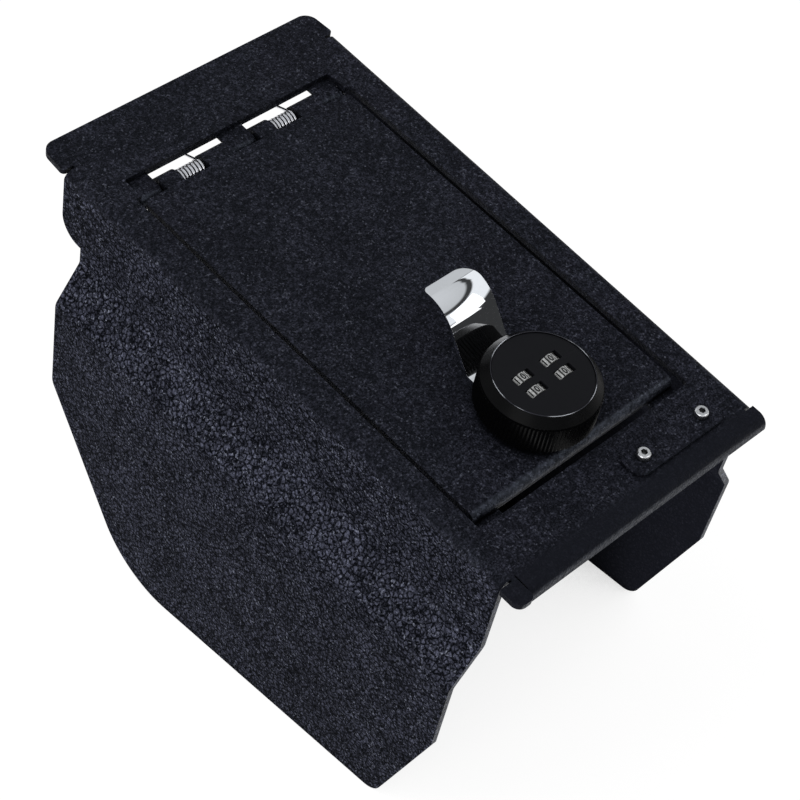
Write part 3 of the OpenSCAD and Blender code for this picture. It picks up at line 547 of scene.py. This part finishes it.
def make_knob_rim(material):
    """Thin polished ring round the knob's face."""
    centre, rise = Vector((*LOCK, KNOB_TOP + 0.02)), Vector((0, 0, 1))
    verts, faces, sides = [], [], 10
    for i in range(RIM_STEPS):
        turn = 2 * math.pi * i / RIM_STEPS
        out = Vector((math.cos(turn), math.sin(turn), 0))
        for k in range(sides):
            a = 2 * math.pi * k / sides
            wire = RIM_WIRE_R * (out * math.cos(a) + rise * math.sin(a))
            verts.append(deck_point(*(centre + out * RIM_R + wire)))
    for i in range(RIM_STEPS):
        j = (i + 1) % RIM_STEPS
        for k in range(sides):
            n = (k + 1) % sides
            faces.append((i * sides + k, j * sides + k, j * sides + n, i * sides + n))
    piece = new_piece("knob_rim", verts, faces, material)
    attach(piece, "knob")


def make_index_line(side, ink):
    """Engraved line between the two windows of one axle."""
    x = LOCK[0] + side * AXLE_PITCH / 2
    half_l = (DIAL_PITCH - WINDOW_W) / 2 - 0.15
    half_w = 0.22
    top = FACE_TOP + 0.02
    corners = [(-half_w, -half_l), (half_w, -half_l), (half_w, half_l), (-half_w, half_l)]
    verts = [deck_point(x + u, LOCK[1] + v, z) for z in (top, top - 0.1) for u, v in corners]
    faces = [(0, 1, 2, 3), (7, 6, 5, 4)]
    faces += [(k, (k + 1) % 4, (k + 1) % 4 + 4, k + 4) for k in range(4)]
    name = "index_line_left" if side < 0 else "index_line_right"
    piece = new_piece(name, verts, faces, ink, smooth=False)
    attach(piece, "knob")


# The setting


def place_camera():
    """Camera of the photograph."""
    a, e, r = (math.radians(CAMERA[k]) for k in ("azimuth", "elevation", "roll"))
    back = Vector((math.sin(a) * math.cos(e), -math.cos(a) * math.cos(e), math.sin(e)))
    level = Vector((math.cos(a), math.sin(a), 0))
    rise = back.cross(level)
    right = math.cos(r) * level + math.sin(r) * rise
    up = math.cos(r) * rise - math.sin(r) * level
    spot = (Vector(CAMERA["target"]) + back * CAMERA["distance"]) * MM
    axes = Matrix((right, up, back)).transposed().to_4x4()
    camera = bpy.data.objects.new("camera", bpy.data.cameras.new("camera"))
    bpy.context.scene.collection.objects.link(camera)
    camera.matrix_world = deck_matrix() @ Matrix.Translation(spot) @ axes
    camera.data.sensor_fit = "HORIZONTAL"
    camera.data.sensor_width = SENSOR
    camera.data.lens = CAMERA["focal_px"] / PHOTO_PX * SENSOR
    camera.data.clip_start = 0.01
    bpy.context.scene.camera = camera


def seen_directly(tree):
    """1 for camera, glossy and transmission rays, 0 for the rest."""
    rays = tree.nodes.new("ShaderNodeLightPath")
    total = rays.outputs["Is Camera Ray"]
    for name in ("Is Glossy Ray", "Is Transmission Ray"):
        add = tree.nodes.new("ShaderNodeMath")
        add.operation = "MAXIMUM"
        tree.links.new(total, add.inputs[0])
        tree.links.new(rays.outputs[name], add.inputs[1])
        total = add.outputs[0]
    return total


def light_world(ambient):
    """White where it is seen, and a soft ambient light elsewhere. Gloss sees a
    studio in level bands: a pale ceiling, then dark, white and dark walls."""
    world = bpy.data.worlds.new("studio")
    bpy.context.scene.world = world
    world.use_nodes = True
    tree = world.node_tree
    background = tree.nodes["Background"]
    direction = tree.nodes.new("ShaderNodeTexCoord").outputs["Generated"]
    height = tree.nodes.new("ShaderNodeSeparateXYZ")
    tree.links.new(direction, height.inputs[0])
    ramp = tree.nodes.new("ShaderNodeValToRGB")
    tree.links.new(height.outputs["Z"], ramp.inputs["Fac"])
    stops = ((0.0, 1.0), (0.02, 0.04), (0.24, 0.04), (0.30, 1.0), (0.62, 1.0), (0.65, 0.05),
             (0.71, 0.05), (0.75, 0.60), (1.0, 0.70))
    line = ramp.color_ramp.elements
    while len(line) < len(stops):
        line.new(0.5)
    for item, (place, grey) in zip(line, stops):
        item.position = place
        item.color = (grey * 0.94, grey * 0.97, grey, 1)
    rays = tree.nodes.new("ShaderNodeLightPath")
    tint = tree.nodes.new("ShaderNodeMix")
    tint.data_type = "RGBA"
    tree.links.new(rays.outputs["Is Glossy Ray"], tint.inputs["Factor"])
    colours = [socket for socket in tint.inputs if socket.type == "RGBA"]
    colours[0].default_value = (1, 1, 1, 1)
    tree.links.new(ramp.outputs["Color"], colours[1])
    seen = next(socket for socket in tint.outputs if socket.type == "RGBA")
    tree.links.new(seen, background.inputs["Color"])
    strength = tree.nodes.new("ShaderNodeMapRange")
    tree.links.new(seen_directly(tree), strength.inputs["Value"])
    strength.inputs["To Min"].default_value = ambient
    strength.inputs["To Max"].default_value = 1.0
    tree.links.new(strength.outputs["Result"], background.inputs["Strength"])


def lay_floor():
    """White floor with a painted shadow of the object: it darkens round the object by how
    closed in the floor is, and is dark under it. A black patch is painted at the right
    wall's foot, seen through the gap before the lid."""
    m = Nodes("floor_white")

    def shader(kind, inputs):
        return m.add(kind, inputs).outputs[0]

    def diffuse(grey):
        return shader("ShaderNodeBsdfDiffuse", {"Color": (grey, grey, grey, 1)})

    across, along = m.place("X"), m.place("Y")
    # Painted shade: a black patch at the right wall's foot
    painted_dark_patch = m.times(m.times(m.remap(across, 52.0, 67.0), m.remap(across, 89.0, 84.0)),
                      m.times(m.remap(along, -24.0, -12.0), m.remap(along, 24.0, 10.0)))
    # Painted shadow: the floor's glow fades with how closed in it is within 300 mm
    around = m.openness(300.0, samples=24)
    soft = m.times(m.remap(around, 0.15, 0.55, 0.82, 0.92),
                   m.remap(around, 0.04, 0.24, 0.04, 1.0))
    glow = shader("ShaderNodeEmission", {"Strength": soft})
    shown = shader("ShaderNodeAddShader", {0: diffuse(0.16), 1: glow})
    pale = shader("ShaderNodeMixShader", {0: seen_directly(m.tree), 1: diffuse(0.8), 2: shown})
    surface = shader("ShaderNodeMixShader", {0: painted_dark_patch, 1: pale, 2: diffuse(0.004)})
    m.tree.nodes.remove(m.shader)
    m.feed(surface, m.tree.nodes["Material Output"].inputs["Surface"])
    half = FLOOR / 2
    verts = [(-half, -half, 0), (half, -half, 0), (half, half, 0), (-half, half, 0)]
    new_piece("floor", verts, [(0, 1, 2, 3)], m.material, smooth=False)


def area_light(name, spot, size, power, mirrored=True):
    """Soft lamp aimed at the middle of the object. Gloss shows it if mirrored."""
    lamp = bpy.data.lights.new(name, "AREA")
    lamp.shape = "RECTANGLE"
    lamp.size, lamp.size_y = size
    lamp.energy = power
    lamp_object = bpy.data.objects.new(name, lamp)
    bpy.context.scene.collection.objects.link(lamp_object)
    lamp_object.location = spot
    aim = Vector(MIDDLE) - Vector(spot)
    lamp_object.rotation_euler = aim.to_track_quat("-Z", "Y").to_euler()
    lamp_object.visible_glossy = mirrored


def light_studio():
    light_world(AMBIENT)
    area_light("key", (-0.5, 0.25, 1.35), (0.9, 0.9), 8.0, mirrored=False)
    area_light("side", (-1.2, -0.5, 0.6), (0.8, 0.8), 3.5)
    area_light("front", (0.72, -1.12, 0.80), (1.1, 0.72), 3.6)


# Main

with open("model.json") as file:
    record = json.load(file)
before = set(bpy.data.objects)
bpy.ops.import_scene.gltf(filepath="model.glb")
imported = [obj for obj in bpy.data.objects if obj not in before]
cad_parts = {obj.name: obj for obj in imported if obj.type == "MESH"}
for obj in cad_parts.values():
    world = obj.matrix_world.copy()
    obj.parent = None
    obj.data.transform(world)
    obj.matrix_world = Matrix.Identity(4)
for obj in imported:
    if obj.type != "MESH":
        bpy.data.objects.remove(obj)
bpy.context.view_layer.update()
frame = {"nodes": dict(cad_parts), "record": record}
nodes = frame["nodes"]

place_camera()
lay_floor()
light_studio()
bpy.context.scene.view_settings.view_transform = "Standard"

wire = plated_steel("spring_steel", tint=(0.72, 0.72, 0.75), rough=(0.16, 0.28))
ink = number_ink("number_ink")
looks = {
    "black_powder_coat": powder_coat("black_powder_coat"),
    "zinc_plated_steel": plated_steel("zinc_plated_steel"),
    "blued_spring_steel": plated_steel("blued_spring_steel", tint=(0.24, 0.24, 0.27)),
    "spring_steel": wire,
    "bright_chrome": chrome("bright_chrome"),
    "knob_black": knob_black("knob_black"),
    "knob_face_grey": knob_grey("knob_face_grey"),
    "dial_silver": dial_metal("dial_silver"),
}
for part in frame["record"]["subparts"]:
    paint(nodes[part["node"]], looks[part["material_slot"]])

for name, width in (("body_shell", 0.45), ("lid_plate", 0.45),
                    ("hinge_leaf", 0.3), ("lid_stop_left", 0.3), ("lid_stop_right", 0.3),
                    ("latch_strike", 0.3), ("finger_pull", 0.35), ("cover_screws", 0.15),
                    ("knob_face", 0.12), ("lock_cam", 0.25)):
    soften(nodes[name], width)

for name in ("spring_left", "spring_right"):
    make_spring(name, wire)
for name in DIAL_SIDES:
    make_numbers(name, ink)
for side in (-1, 1):
    make_index_line(side, ink)
make_knob_rim(knob_edge("knob_edge"))
